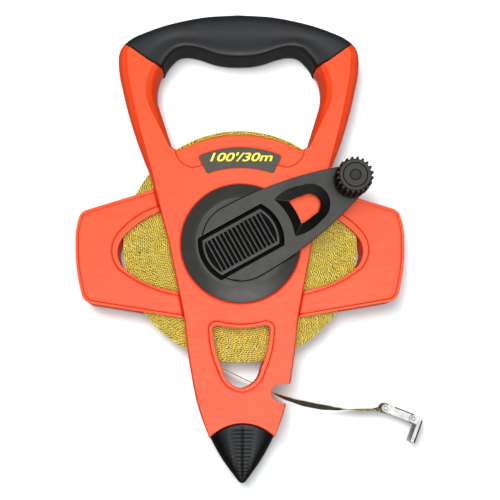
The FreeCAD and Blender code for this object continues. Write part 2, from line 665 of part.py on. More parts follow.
def tape_tail():
    """The free tape as a ribbon standing on edge, sinking from the winding's height to the hook's."""
    left, right = tape_edge(1), tape_edge(-1)
    edges = []
    for steps in (left, right):
        here = steps[0]
        for step in steps[1:]:
            if isinstance(step, tuple):
                edges.append(Part.Arc(here, step[0], step[1]).toShape())
                here = step[1]
            else:
                edges.append(Part.LineSegment(here, step).toShape())
                here = step
    edges.append(Part.LineSegment(left[0], right[0]).toShape())
    edges.append(Part.LineSegment(left[-1], right[-1]).toShape())
    plan = Part.Face(Part.Wire(Part.__sortEdges__(edges))).extrude(V(0, 0, 30))
    half = TAPE_WIDTH / 2
    level, low = TAPE_ROUTE[1][0] + 2, TAPE_ROUTE[-1][0] - 4
    heights = [(-60.0, SPLIT_Z), (level, SPLIT_Z), (low, HOOK_MID_Z), (120.0, HOOK_MID_Z)]
    outline = [(x, z - half) for x, z in heights] + [(x, z + half) for x, z in reversed(heights)]
    points = [V(x, -140, z) for x, z in outline + outline[:1]]
    band = Part.Face(Part.makePolygon(points)).extrude(V(0, 100, 0))
    return plan.common(band)


def route_length():
    points = [V(x, y, 0) for x, y in TAPE_ROUTE]
    total = sum((b - a).Length for a, b in zip(points, points[1:]))
    for _, _, _, tangent, turn, radius in route_arcs():
        total += radius * abs(turn) - 2 * tangent
    return total


def tape_end_loop():
    """The tape's end folded round the hook's rivet and clinched, narrow enough to sit in the channel."""
    z0, z1 = HOOK_MID_Z - 4.7, HOOK_MID_Z + 4.7
    loop = tube(LOOP_R, z0, z1, HOOK_PIN)
    end = V(*TAPE_ROUTE[-1], 0)
    centre = V(*HOOK_PIN, 0)
    run = end - centre
    angle = math.degrees(math.atan2(run.y, run.x))
    neck = block(0, run.Length, -0.8, 0.8, z0, z1)
    clinch = block(run.Length - 3.2, run.Length, -0.9, 0.9, HOOK_MID_Z - 6.4, HOOK_MID_Z + 6.4)
    tail = join([neck, clinch])
    tail.rotate(V(0, 0, 0), V(0, 0, 1), angle)
    tail.translate(centre)
    return join([loop, tail]).cut([tube(RIVET_R + RUN, 0, 20, HOOK_PIN), tape_tail()])


def hook_levels():
    """Lower faces of the arm's two side plates and of the claw's two ears."""
    arm_low = HOOK_MID_Z - 5.9
    arm_high = HOOK_MID_Z + 5.0
    return (arm_low, arm_high), (arm_low - 0.3 - HOOK_SHEET, arm_high + HOOK_SHEET + 0.3)


def hook_arm():
    """A steel channel between the two rivets: two side plates and a web along the upper edge."""
    (low, high), _ = hook_levels()
    plate = [(0.0, -HOOK_HALF), (HOOK_ARM, -HOOK_HALF), ((HOOK_ARM + HOOK_HALF, 0.0), (HOOK_ARM, HOOK_HALF)),
             (HOOK_ARM, 3.1), (4.0, 3.1), (3.0, HOOK_HALF), (0.0, HOOK_HALF), ((-HOOK_HALF, 0.0), (0.0, -HOOK_HALF))]
    plates = [slab(plate, z, z + HOOK_SHEET) for z in (low, high)]
    web = block(4.2, HOOK_ARM, 3.1 - HOOK_SHEET, 3.1, low, high + HOOK_SHEET)
    arm = join(plates + [web])
    arm = arm.cut([tube(RIVET_R, 0, 20), tube(RIVET_R, 0, 20, (HOOK_ARM, 0.0))])
    return about_hook(arm, HOOK_PIN)


def hook_pin():
    (low, high), _ = hook_levels()
    shank = tube(RIVET_R, low, high + HOOK_SHEET)
    heads = [tube(RIVET_HEAD_R, low - 0.7, low), tube(RIVET_HEAD_R, high + HOOK_SHEET, high + HOOK_SHEET + 0.7)]
    return about_hook(join([shank] + heads), HOOK_PIN)


def claw_rivet():
    _, (low, high) = hook_levels()
    gap = 0.3
    shank = tube(RIVET_R, low - gap, high + HOOK_SHEET + gap)
    heads = [tube(RIVET_HEAD_R, low - gap - 0.6, low - gap),
             tube(RIVET_HEAD_R, high + HOOK_SHEET + gap, high + HOOK_SHEET + gap + 0.6)]
    return about_hook(join([shank] + heads), claw_axis())


def claw_outline():
    """The claw's ear and leg in plan, its rivet at the origin, with teeth along the leg's inner edge."""
    inner = CLAW_REACH - CLAW_STRIP
    teeth = 7
    step = (CLAW_LEG - HOOK_HALF - 1.5) / teeth
    outline = [(0.0, HOOK_HALF), ((-HOOK_HALF, 0.0), (0.0, -HOOK_HALF)), (inner, -HOOK_HALF - 0.6)]
    for index in range(teeth):
        y = -HOOK_HALF - 1.2 - index * step
        outline.append((inner, y))
        outline.append((inner - 0.7, y - step * 0.75))
        outline.append((inner, y - step * 0.8))
    outline += [(inner, -CLAW_LEG), (CLAW_REACH, -CLAW_LEG), (CLAW_REACH, 1.2), (CLAW_REACH - 1.6, HOOK_HALF)]
    return outline


def hook_claw():
    """The folding toothed claw: two ears on the rivet and a web down the leg's outer side."""
    _, (low, high) = hook_levels()
    ears = [slab(claw_outline(), z, z + HOOK_SHEET) for z in (low, high)]
    web = block(CLAW_REACH - HOOK_SHEET, CLAW_REACH, -CLAW_LEG, 1.2, low, high + HOOK_SHEET)
    claw = join(ears + [web]).cut(tube(RIVET_R + RUN, 0, 20))
    return about_hook(claw, claw_axis())


# ---- write every piece ----------------------------------------------------------------------------
def main():
    os.makedirs("parts", exist_ok=True)
    shell = shell_half()
    save("front_frame_half", front_frame_half(shell))
    save("rear_frame_half", rear_frame_half(shell))
    save("frame_screws", frame_screws())
    save("handle_grip", handle_grip())
    save("nose_cone", nose_cone())
    save("front_bush", front_bush())
    save("rear_bush", rear_bush())
    save("rear_hub_cap", rear_hub_cap())
    save("length_label", length_label())
    save("drum_front", drum_front())
    save("drum_rear", to_rear(drum_front()))
    save("tape_winding", tape_winding())
    save("spindle", spindle())
    save("retaining_clip", retaining_clip())
    save("drag_washer", drag_washer())
    save("spindle_screw", spindle_screw())
    save("crank_disc", crank_disc())
    save("crank_arm", crank_arm())
    save("crank_arm_screws", crank_arm_screws())
    save("crank_pad", crank_pad())
    save("knob_pin", knob_pin())
    save("knob_washer", knob_washer())
    save("crank_knob", crank_knob())
    save("knob_cap", knob_cap())
    save("tape_tail", tape_tail())
    save("tape_end_loop", tape_end_loop())
    save("hook_arm", hook_arm())
    save("hook_pin", hook_pin())
    save("claw_rivet", claw_rivet())
    save("hook_claw", hook_claw())
    tail = tape_tail()
    print("tape tail length", round(route_length(), 1), "radii", [round(arc[5]) for arc in route_arcs()])
    print("tape tail volume", round(tail.Volume), "expected", round(route_length() * TAPE_THICK * TAPE_WIDTH))


main()
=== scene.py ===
import bpy
import math
from mathutils import Matrix, Vector


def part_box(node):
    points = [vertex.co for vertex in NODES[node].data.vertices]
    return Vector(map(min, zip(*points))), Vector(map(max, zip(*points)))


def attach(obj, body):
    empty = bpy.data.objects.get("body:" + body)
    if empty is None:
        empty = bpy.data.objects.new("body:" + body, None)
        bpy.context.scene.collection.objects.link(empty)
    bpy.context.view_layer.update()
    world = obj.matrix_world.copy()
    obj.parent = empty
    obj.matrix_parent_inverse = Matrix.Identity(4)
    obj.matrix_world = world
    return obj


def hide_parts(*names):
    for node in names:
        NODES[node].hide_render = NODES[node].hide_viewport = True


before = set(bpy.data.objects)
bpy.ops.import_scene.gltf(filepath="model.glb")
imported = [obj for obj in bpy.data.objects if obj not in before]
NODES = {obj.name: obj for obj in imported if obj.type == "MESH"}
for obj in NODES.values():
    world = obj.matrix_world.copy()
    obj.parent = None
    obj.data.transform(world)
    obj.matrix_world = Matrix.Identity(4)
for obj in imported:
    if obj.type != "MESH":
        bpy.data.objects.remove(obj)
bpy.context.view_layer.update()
MM = 0.001

# ---- the camera ---------------------------------------------------------------------------
CAMERA_AT = Vector((-15.1, -85.7, 700.0)) * MM
CAMERA_AIM = Vector((5.9, -4.2, 30.0)) * MM
CAMERA_ROLL = 0.3
CAMERA_LENS = 75.6

# ---- sizes, in millimetres ----------------------------------------------------------------
MIDDLE = 15.0          # height of the plane where the frame's halves meet

# The tape's free end: its route from the winding to the hook, and how far it leans on the way.
TAPE_ROUTE = [(-34.84, -68.12, 15.0), (19.9, -95.9, 15.0), (38.0, -102.2, 13.25), (57.5, -106.0, 11.1),
              (74.0, -107.3, 9.3), (87.4, -107.2, 8.3)]
TAPE_LENGTH = 130.3
TAPE_WIDTH = 13.0
TAPE_THICK = 0.45
TAPE_LEAN = [(0.0, 0.0), (0.46, 0.5), (0.565, 10.0), (0.65, 15.5), (0.735, 15.0), (0.80, 9.5), (0.88, 0.0),
             (0.92, -4.0), (1.0, -4.0)]

WINDING_INNER = 38.0
WINDING_AROUND = 288   # points round the winding
RIDGE_PITCH = 0.9      # the winding's turns lie in ridges this far apart
RIDGE_DEPTH = 0.15
RIDGE_STEPS = 4        # points across one ridge
YARNS = 208            # slanted yarns of the weave once round the winding
YARN_BAND = 1.25       # radial width of one row of them
YARN_SLANT = 0.75      # how far a yarn runs on across its row, in yarns
TICKS = 156.0          # short printed marks once round the winding, with a long one every ten

# The grip's outline seen from above, right half, and how its edges are rounded.
GRIP_UNDER = [(0.0, 124.5), (8.5, 124.9), (17.0, 126.6), (26.8, 130.0), (34.5, 131.3), (40.8, 129.9),
              (46.2, 124.6), (49.0, 120.4), (50.0, 117.6)]
GRIP_OVER = [(0.0, 154.3), (24.0, 152.6), (48.0, 147.3), (66.0, 140.6), (72.2, 137.2), (76.1, 133.9)]
GRIP_JOINT_BULGE = -1.2
GRIP_UNDER_R = 2.5
GRIP_OVER_R = 6.0
GRIP_HALF = 14.6       # half of its thickness
GRIP_SECTIONS = 49     # from the middle to each joint

# The hook's rivet in the tape's end, the distance to the claw's rivet and the arm's direction.
HOOK_PIN = (93.55, -106.1)
HOOK_ARM = 18.85
HOOK_ANGLE = -21.7
# Painted shade round each rivet: a thin dark ring.
RIVET_SHADE_RING = ((1.26, 0.0), (1.22, 0.03), (0.92, 0.03), (0.88, 0.0))    # radius and height of its profile
RING_SIDES = 32

# The toe runs from its joint with the frame to a rounded tip. The joint is higher in the middle.
NOSE_MIDDLE = -115.1
NOSE_CORNER = -123.4
NOSE_END = -152.4
NOSE_CORNER_HALF = 20.5
NOSE_BULGE = 1.2
NOSE_TIP = -151.0      # the rounded tip starts here
NOSE_TIP_HALF = 2.72
NOSE_TIP_R = 3.2
NOSE_TIP_CENTRE = -149.3
NOSE_RIBS = 12
NOSE_RIBS_FROM = -118.5
NOSE_RIBS_LONG = 29.0
NOSE_RIB = 0.7
NOSE_GROOVE = 0.7
NOSE_GROOVE_HALF = 0.55

LABEL_TEXT = "100'/30m"
LABEL_AT = (-0.4, 54.1, 29.92)
LABEL_LETTER = 7.75
LABEL_STRETCH = 1.46


# ---- small tools --------------------------------------------------------------------------
def new_piece(name, points, faces, body, *materials, smooth=True):
    """A mesh piece from points in millimetres, riding on a body."""
    mesh = bpy.data.meshes.new(name)
    mesh.from_pydata([tuple(Vector(p) * MM) for p in points], [], faces)
    mesh.validate()
    mesh.polygons.foreach_set("use_smooth", [smooth] * len(mesh.polygons))
    for material in materials:
        mesh.materials.append(material)
    mesh.update()
    obj = bpy.data.objects.new(name, mesh)
    bpy.context.scene.collection.objects.link(obj)
    if body:
        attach(obj, body)
    return obj


def weld(obj):
    """Join points that lie within a hundredth of a millimetre."""
    obj.modifiers.new("weld", "WELD").merge_threshold = 0.01 * MM


def paint(piece, slots):
    """Give each face the material with its number in slots."""
    piece.data.polygons.foreach_set("material_index", slots)
    piece.data.update()


def strip(first, second, count, closed=False):
    """Quads between two rows of points that start at the given indices."""
    faces = []
    for i in range(count if closed else count - 1):
        j = (i + 1) % count
        faces.append((first + i, first + j, second + j, second + i))
    return faces


def tube(rings, loop=False):
    """Points and quads of a skin through rings of as many points each, in a row or in a loop."""
    size = len(rings[0])
    faces = []
    for n in range(len(rings) if loop else len(rings) - 1):
        faces += strip((n + 1) % len(rings) * size, n * size, size, closed=True)
    return [point for ring in rings for point in ring], faces


def held(value):
    """The value held between 0 and 1."""
    return min(1.0, max(0.0, value))


def ramp(table, x):
    """Smooth value at x from a list of (x, value)."""
    for (x0, v0), (x1, v1) in zip(table, table[1:]):
        if x <= x1:
            t = max(0.0, (x - x0) / (x1 - x0))
            return v0 + (v1 - v0) * t * t * (3 - 2 * t)
    return table[-1][1]


def along(points, count):
    """Points evenly spaced along a smooth line through the given 2-D points."""
    parts = 12
    dense = []
    padded = [2 * Vector(points[0]) - Vector(points[1])] + [Vector(p) for p in points]
    padded.append(2 * Vector(points[-1]) - Vector(points[-2]))
    for p0, p1, p2, p3 in zip(padded, padded[1:], padded[2:], padded[3:]):
        for k in range(parts):
            t = k / parts
            dense.append(0.5 * (2 * p1 + (p2 - p0) * t + (2 * p0 - 5 * p1 + 4 * p2 - p3) * t * t
                                + (3 * p1 - p0 - 3 * p2 + p3) * t ** 3))
    dense.append(Vector(points[-1]))
    reach = [0.0]
    for a, b in zip(dense, dense[1:]):
        reach.append(reach[-1] + (b - a).length)
    spaced = []
    k = 0
    for n in range(count):
        target = reach[-1] * n / (count - 1)
        while k < len(reach) - 2 and reach[k + 1] < target:
            k += 1
        t = (target - reach[k]) / (reach[k + 1] - reach[k])
        spaced.append(dense[k].lerp(dense[k + 1], min(1.0, t)))
    return spaced


# ---- materials ----------------------------------------------------------------------------
class Graph:
    """The node tree of one of the record's materials, or of a new one, with short calls to add nodes."""

    def __init__(self, name):
        self.material = bpy.data.materials.get(name) or bpy.data.materials.new(name)
        self.material.use_nodes = True
        self.tree = self.material.node_tree
        self.tree.nodes.clear()
        self.shader = self.tree.nodes.new("ShaderNodeBsdfPrincipled")
        output = self.tree.nodes.new("ShaderNodeOutputMaterial")
        self.tree.links.new(self.shader.outputs["BSDF"], output.inputs["Surface"])
        self.coords = self.add("TexCoord").outputs["Object"]

    def put(self, node, key, value):
        if isinstance(value, bpy.types.NodeSocket):
            self.tree.links.new(value, node.inputs[key])
        else:
            node.inputs[key].default_value = value

    def add(self, kind, settings=None, **inputs):
        node = self.tree.nodes.new("ShaderNode" + kind)
        for key, value in (settings or {}).items():
            setattr(node, key, value)
        for key, value in inputs.items():
            self.put(node, key.replace("_", " "), value)
        return node

    def math(self, operation, *values):
        node = self.add("Math", {"operation": operation})
        for index, value in enumerate(values):
            self.put(node, index, value)
        return node.outputs[0]

    def times(self, first, second):
        return self.math("MULTIPLY", first, second)

    def opposite(self, value):
        return self.math("SUBTRACT", 1.0, value)

    def total(self, first, *others):
        return self.math("ADD", first, self.total(*others)) if others else first

    def noise(self, scale, detail=2.0, vector=None, distortion=0.0):
        node = self.add("TexNoise", Vector=vector or self.coords, Scale=scale, Detail=detail,
                        Distortion=distortion)
        return node.outputs["Fac"]

    def clouds(self, scale, detail, low=0.0, high=1.0, vector=None):
        """Noise whose middle range runs from low to high."""
        return self.spread(self.noise(scale, detail, vector), 0.3, 0.7, low, high)

    def waver(self, scale, size):
        """Noise about zero."""
        return self.times(self.math("SUBTRACT", self.noise(scale), 0.5), size)

    def stretched(self, x, y, z):
        return self.add("Mapping", Vector=self.coords, Scale=(x, y, z)).outputs["Vector"]

    def polar(self):
        """The distance from the reel's axis, the turn about it from -0.5 to 0.5, and the height."""
        x, y, z = self.add("SeparateXYZ", Vector=self.coords).outputs
        far = self.math("SQRT", self.math("ADD", self.times(x, x), self.times(y, y)))
        turn = self.math("DIVIDE", self.math("ARCTAN2", y, x), 2 * math.pi)
        return far, turn, z

    def blend(self, share, first, second):
        node = self.add("Mix", {"data_type": "RGBA"})
        self.put(node, 0, share)
        self.put(node, 6, first)
        self.put(node, 7, second)
        return node.outputs[2]

    def spread(self, value, low, high, to_low=0.0, to_high=1.0):
        node = self.add("MapRange", Value=value)
        for key, number in (("From Min", low), ("From Max", high), ("To Min", to_low), ("To Max", to_high)):
            node.inputs[key].default_value = number
        return node.outputs["Result"]

    def facing(self, low, high, kind="Normal"):
        """0 where the surface stands steep, 1 where it looks straight up or down."""
        tilt = self.add("SeparateXYZ", Vector=self.add("NewGeometry").outputs[kind]).outputs["Z"]
        return self.spread(self.math("ABSOLUTE", tilt), low, high)

    def sunk(self, low, high, reach):
        """0 below the height low and 1 above high, but 1 everywhere further than reach from the axis."""
        far, _, height = self.polar()
        top = self.spread(height, low * MM, high * MM)
        return self.math("MAXIMUM", top, self.math("GREATER_THAN", far, reach * MM))

    def open_air(self, distance, low, high):
        """0 in a crease or groove, 1 on an open face."""
        node = self.add("AmbientOcclusion", {"samples": 12}, Distance=distance * MM)
        return self.spread(node.outputs["AO"], low, high)

    def rounded(self, radius):
        """The surface's normal with its edges softened."""
        return self.add("Bevel", {"samples": 6}, Radius=radius * MM).outputs["Normal"]

    def worn_and_highlit_edges(self, radius, low, high):
        """1 along outward edges and corners, 0 on open faces: the mask for edge wear and painted edge
        highlights.
        """
        true = self.add("NewGeometry").outputs["True Normal"]
        node = self.add("VectorMath", {"operation": "DOT_PRODUCT"})
        self.put(node, 0, self.rounded(radius))
        self.put(node, 1, true)
        edge = self.spread(node.outputs["Value"], high, low)
        return self.times(edge, self.open_air(radius * 3, 0.6, 0.8))

    def bump(self, height, strength, distance, under=None):
        node = self.add("Bump", Height=height, Strength=strength, Distance=distance * MM)
        if under is not None:
            self.put(node, "Normal", under)
        return node.outputs["Normal"]

    def finish(self, colour, roughness, normal=None, **others):
        """The material, with these values or nodes in its shader."""
        self.put(self.shader, "Base Color", colour)
        self.put(self.shader, "Roughness", roughness)
        if normal is not None:
            self.put(self.shader, "Normal", normal)
        for key, value in others.items():
            self.put(self.shader, key.replace("_", " "), value)
        return self.material


def linear(red, green, blue):
    """An sRGB colour given as 0 to 255, as Blender's linear RGBA."""
    def one(value):
        value = value / 255
        return value / 12.92 if value <= 0.04045 else ((value + 0.055) / 1.055) ** 2.4
    return (one(red), one(green), one(blue), 1.0)


def orange_plastic():
    """Moulded ABS: spark-eroded grain, faint flow clouds and fine scuffs, with painted shade (a deeper orange
    on steep walls, a deep red in creases), outer edges lightened by wear and a painted highlight, and a faint
    painted glow.
    """
    g = Graph("orange_abs")
    face = g.blend(g.clouds(18, 3), linear(226, 74, 26), linear(232, 83, 36))
    # Painted shade: steep walls take a deeper, more saturated orange than the flat faces.
    level = g.facing(0.86, 0.9985, "True Normal")
    colour = g.blend(level, linear(236, 58, 3), face)
    # Outer edges lighter: partly wear, partly a painted highlight.
    colour = g.blend(g.times(g.worn_and_highlit_edges(0.8, 0.88, 0.995), 0.7), colour, linear(252, 124, 70))
    # Painted shade: creases and the feet of steps darken to a deep red.
    air = g.open_air(2.2, 0.76, 0.985)
    colour = g.blend(air, linear(186, 26, 1), colour)
    # A metallic share takes the white gloss off creases and walls.
    dull = g.math("MAXIMUM", g.times(g.opposite(air), 0.75), g.times(g.opposite(level), 0.25))
    rough = g.spread(g.noise(60, 6, g.stretched(1, 14, 1), 0.4), 0.35, 0.75, 0.40, 0.52)
    grain = g.bump(g.noise(2400), 0.18, 0.05, g.rounded(0.55))
    # Painted light: a faint orange glow lifts the shaded walls.
    return g.finish(colour, rough, grain, Metallic=dull, Specular_IOR_Level=0.5,
                    Emission_Color=linear(255, 62, 0), Emission_Strength=0.09)


def soft_rubber(name, low, high, gloss, matt):
    """Moulded soft rubber: pebbled bump, faint clouds on the faces, painted shade on the steep sides and in
    creases.
    """
    g = Graph(name)
    level = g.facing(low, high)
    face_tone = g.blend(g.clouds(35, 4), linear(27, 29, 32), linear(36, 38, 41))
    # Painted shade: steep sides are near black, and creases darker still.
    colour = g.blend(level, linear(10, 10, 9), face_tone)
    colour = g.blend(g.open_air(0.9, 0.45, 0.9), linear(9, 9, 8), colour)
    pebble = g.add("TexVoronoi", {"feature": "SMOOTH_F1"}, Vector=g.coords, Scale=1500.0).outputs["Distance"]
    return g.finish(colour, g.clouds(160, 3, 0.38, 0.48), g.bump(pebble, 0.16, 0.06),
                    Metallic=g.times(g.opposite(level), matt), Specular_IOR_Level=gloss)


def dark_plastic(name, steep_low, steep_high, groove, wear_and_highlight, sunk=None, tone=1.0):
    """Dark grey moulded nylon: fine grain, painted shade on walls, in grooves and below a given height, light
    scratches from use, edges lightened by wear and a painted highlight.
    """
    g = Graph(name)
    darker, lighter = (linear(*(part * tone for part in grey)) for grey in ((46, 45, 42), (56, 55, 52)))
    flat = g.facing(steep_low, steep_high)
    steep = g.opposite(flat)
    scratch = g.spread(g.noise(90, 8, g.stretched(3, 30, 3), 1.2), 0.66, 0.72)
    colour = g.blend(g.times(scratch, 0.3), g.blend(g.clouds(45, 4), darker, lighter), linear(92, 91, 87))
    # Painted shade: steep walls are near black.
    colour = g.blend(flat, linear(13, 12, 10), colour)
    # Outer edges lighter: partly wear, partly a painted highlight.
    colour = g.blend(g.times(g.worn_and_highlit_edges(0.3, 0.9, 0.995), wear_and_highlight), colour, linear(128, 126, 120))
    # Painted shade in grooves.
    colour = g.blend(g.open_air(groove, 0.5, 0.92), linear(7, 7, 6), colour)
    # A metallic share takes the gloss off grooves and walls.
    dull = g.math("MAXIMUM", g.opposite(g.open_air(groove, 0.35, 0.85)), g.times(steep, 0.6))
    # Painted shade: below the given height, near the axis, the plastic is painted near black and loses its
    # gloss.
    if sunk:
        deep = g.sunk(*sunk)
        colour = g.blend(deep, linear(5, 5, 4), colour)
        dull = g.math("MAXIMUM", dull, g.times(g.opposite(deep), 0.9))
    rough = g.math("ADD", g.clouds(240, 3, 0.42, 0.52), g.times(steep, 0.2))
    grain = g.bump(g.noise(2800), 0.2, 0.05, g.rounded(0.25))
    return g.finish(colour, rough, grain, Metallic=dull, Specular_IOR_Level=0.5)


def bush_plastic():
    """Off-white plastic of the bushes."""
    g = Graph("bush_plastic")
    colour = g.blend(g.clouds(80, 3), linear(214, 212, 203), linear(228, 226, 219))
    return g.finish(colour, g.clouds(300, 2, 0.38, 0.5), g.bump(g.noise(2000), 0.15, 0.03))


def label_film():
    """The label's dark grey printed film, with faint specks in the ink."""
    g = Graph("label_film")
    speck = g.spread(g.noise(900), 0.35, 0.75)
    colour = g.blend(speck, linear(60, 56, 46), linear(74, 69, 57))
    return g.finish(colour, g.clouds(120, 3, 0.34, 0.46), g.bump(g.noise(1500), 0.1, 0.02))


def label_ink():
    """The label's yellow numbers."""
    g = Graph("label_ink")
    colour = g.blend(g.clouds(700, 2), linear(246, 232, 60), linear(255, 246, 96))
    return g.finish(colour, g.clouds(200, 2, 0.4, 0.5))


def steel(name, first, second):
    """Plated sheet steel with a drawn grain between two greys, with painted shade on steep sides and in
    creases.
    """
    g = Graph(name)
    drawn = g.noise(70, 4, g.stretched(4, 4, 60), 0.2)
    colour = g.blend(g.spread(drawn, 0.3, 0.7), linear(*first), linear(*second))
    # Painted shade: steep sides darker, creases darker still.
    colour = g.blend(g.facing(0.5, 0.95), linear(84, 84, 82), colour)
    colour = g.blend(g.open_air(0.5, 0.4, 0.85), linear(24, 24, 23), colour)
    rough = g.clouds(220, 5, 0.3, 0.48, g.stretched(1, 6, 1))
    return g.finish(colour, rough, g.bump(drawn, 0.05, 0.03), Metallic=0.75)


def woven_tape():
    """The wound tape from the side: rows of short slanted yarns, each row set off from the next."""
    g = Graph("tape_glass")
    far, turn, _ = g.polar()
    row = g.math("DIVIDE", g.math("ADD", g.math("DIVIDE", far, MM), g.waver(140, 1.1)), YARN_BAND)
    index = g.math("FLOOR", row)
    inside = g.math("SUBTRACT", row, index)
    # The row's own start, between 0 and 1, as if drawn by lot.
    shift = g.math("FRACT", g.times(g.math("SINE", g.times(index, 12.9898)), 437.585))
    phase = g.total(g.times(turn, float(YARNS)), g.times(inside, YARN_SLANT), shift, g.waver(330, 2.2))
    wave = g.math("SINE", g.times(phase, 2 * math.pi))
    seam = g.math("SINE", g.times(inside, math.pi))
    yarn = g.spread(g.total(g.waver(950, 1.3), wave, g.times(seam, 1.5)), 0.0, 1.5)
    lit = g.blend(g.clouds(300, 3), linear(208, 188, 56), linear(238, 216, 92))
    colour = g.blend(yarn, linear(84, 64, 3), lit)
    return g.finish(colour, g.clouds(400, 2, 0.5, 0.65), g.bump(yarn, 0.7, 0.25))


def tape_face():
    """The tape's printed outer face as wound: yellow, with short black marks and longer ones between."""
    g = Graph("tape_face")
    _, turn, height = g.polar()

    def marks(count, thick, top):
        here = g.math("LESS_THAN", g.math("FRACT", g.times(turn, count)), thick)
        return g.times(here, g.math("LESS_THAN", height, top * MM))

    mark = g.math("MAXIMUM", marks(TICKS, 0.14, 12.0), marks(TICKS / 10, 0.02, 18.0))
    base = g.blend(g.clouds(300, 3), linear(214, 190, 66), linear(236, 214, 92))
    weave = g.add("TexWave", Vector=g.coords, Scale=700.0).outputs["Fac"]
    colour = g.blend(mark, base, linear(34, 33, 30))
    return g.finish(colour, g.clouds(300, 2, 0.4, 0.55), g.bump(weave, 0.2, 0.05))


def tape_print(name, first, second):
    """A face or edge of the free tape: coated weave."""
    g = Graph(name)
    weave = g.add("TexWave", Vector=g.coords, Scale=520.0, Distortion=2.0).outputs["Fac"]
    colour = g.blend(g.spread(g.noise(900), 0.35, 0.65), linear(*first), linear(*second))
    return g.finish(colour, g.clouds(300, 2, 0.45, 0.6), g.bump(weave, 0.25, 0.06))


# The record's slots take their looks here, and the rest are kinds of them for single pieces.
orange_plastic()
bush_plastic()
label_film()
dark_plastic("crank_plastic", 0.88, 0.995, 2.0, 0.35)
steel("steel", (162, 162, 160), (186, 186, 184))
RUBBER = soft_rubber("grip_rubber", 0.45, 0.97, 0.5, 0.0)
TOE_RUBBER = soft_rubber("toe_rubber", 0.72, 0.99, 0.34, 0.6)
DISC = dark_plastic("disc_plastic", 0.2, 0.6, 3.0, 0.15, (37.6, 38.3, 28.4))
PAD = dark_plastic("pad_plastic", 0.7, 0.98, 1.6, 0.9, (38.0, 38.7, 60.0))
# The pin is a near-black copy of the crank plastic: painted shade at the knob's centre.
PIN = dark_plastic("pin_plastic", 0.7, 0.98, 1.2, 0.1, tone=0.3)
KNOB = dark_plastic("knob_plastic", 0.88, 0.995, 2.0, 0.35, tone=0.8)
INK = label_ink()
# A near-black steel for the pieces of painted shade on the hook.
PAINTED_SHADE_STEEL = steel("painted_shade_steel", (26, 26, 25), (44, 43, 42))
WOVEN = woven_tape()
TAPE_FACE = tape_face()
TAPE_DARK = tape_print("tape_dark", (44, 44, 41), (64, 63, 58))
TAPE_EDGE = tape_print("tape_edge", (96, 90, 44), (206, 192, 110))
TAPE_LOOP = tape_print("tape_loop", (34, 34, 28), (112, 104, 62))


# ---- the camera and the stage -------------------------------------------------------------
def camera():
    data = bpy.data.cameras.new("camera")
    data.lens = CAMERA_LENS
    data.sensor_width = 36.0
    data.clip_start = 0.01
    back = (CAMERA_AT - CAMERA_AIM).normalized()
    roll = math.radians(CAMERA_ROLL)
    heading = Vector((math.sin(roll), math.cos(roll), 0))
    up = (heading * back.z - Vector((0, 0, 1)) * heading.dot(back)).normalized()
    turn = Matrix((up.cross(back), up, back)).transposed().to_4x4()
    obj = bpy.data.objects.new("camera", data)
    obj.matrix_world = Matrix.Translation(CAMERA_AT) @ turn
    bpy.context.scene.collection.objects.link(obj)
    bpy.context.scene.camera = obj


def floor():
    """A white floor that glows more further out, so that it stays pale where the lights don't reach."""
    reach = 30000
    drop = -0.05
    corners = [(-reach, -reach, drop), (reach, -reach, drop), (reach, reach, drop), (-reach, reach, drop)]
    g = Graph("floor_card")
    colour = g.blend(g.noise(3), linear(182, 186, 187), linear(186, 189, 190))
    distance = g.add("VectorMath", {"operation": "LENGTH"})
    g.put(distance, 0, g.coords)
    glow = g.spread(distance.outputs["Value"], 0.3, 1.6, 0.10, 0.95)
    card = g.finish(colour, 0.9, Emission_Color=(1, 1, 1, 1), Emission_Strength=glow)
    sheet = new_piece("floor", corners, [(0, 1, 2, 3)], None, card, smooth=False)
    sheet.visible_glossy = False
    return sheet


def area_light(name, at, size, watts, diffuse=True, glossy=True):
    data = bpy.data.lights.new(name, "AREA")
    data.shape = "RECTANGLE"
    data.size, data.size_y = size
    data.energy = watts
    obj = bpy.data.objects.new(name, data)
    obj.location = at
    obj.rotation_mode = "QUATERNION"
    obj.rotation_quaternion = (-Vector(at)).to_track_quat("-Z", "Y")
    obj.visible_diffuse = diffuse
    obj.visible_glossy = glossy
    bpy.context.scene.collection.objects.link(obj)
    return obj


def lights(sheet):
    """A soft key from the upper left, a sky and a low gloss light. One more key lights only the floor,
    so that the shadow on it is as strong as the photo's while the object's own shadows stay soft."""
    area_light("key", (-0.42, 0.40, 1.2), (0.55, 0.55), 5.0, glossy=False)
    area_light("sky", (0.0, 0.0, 1.4), (1.0, 1.0), 8.5, glossy=False)
    floor_key = area_light("floor_key", (-0.22, 0.30, 1.3), (0.55, 0.55), 27.0, glossy=False)
    lit = bpy.data.collections.new("lit_by_floor_key")
    lit.objects.link(sheet)
    floor_key.light_linking.receiver_collection = lit
    area_light("overhead", (0.05, -0.12, 1.25), (0.8, 0.75), 8.0)
    area_light("front", (0.15, -1.15, 0.75), (1.5, 0.6), 16.0, diffuse=False)
    made = bpy.data.worlds.new("world")
    made.use_nodes = True
    background = made.node_tree.nodes["Background"]
    background.inputs["Color"].default_value = (1, 1, 1, 1)
    background.inputs["Strength"].default_value = 0.15
    bpy.context.scene.world = made
    bpy.context.scene.view_settings.view_transform = "Standard"


# ---- the tape -----------------------------------------------------------------------------
def route_points():
    """Points read from the smooth line of the tape's route."""
    curve = bpy.data.curves.new("tape_line", "CURVE")
    curve.dimensions = "3D"
    spline = curve.splines.new("NURBS")
    spline.points.add(len(TAPE_ROUTE) - 1)
    for point, place in zip(spline.points, TAPE_ROUTE):
        point.co = (*(Vector(place) * MM), 1.0)
    spline.order_u = 3
    spline.use_endpoint_u = True
    spline.resolution_u = 24
    line = bpy.data.objects.new("tape_line", curve)
    bpy.context.scene.collection.objects.link(line)
    mesh = bpy.data.meshes.new_from_object(line.evaluated_get(bpy.context.evaluated_depsgraph_get()))
    points = [v.co.copy() for v in mesh.vertices]
    bpy.data.objects.remove(line)
    bpy.data.meshes.remove(mesh)
    return points


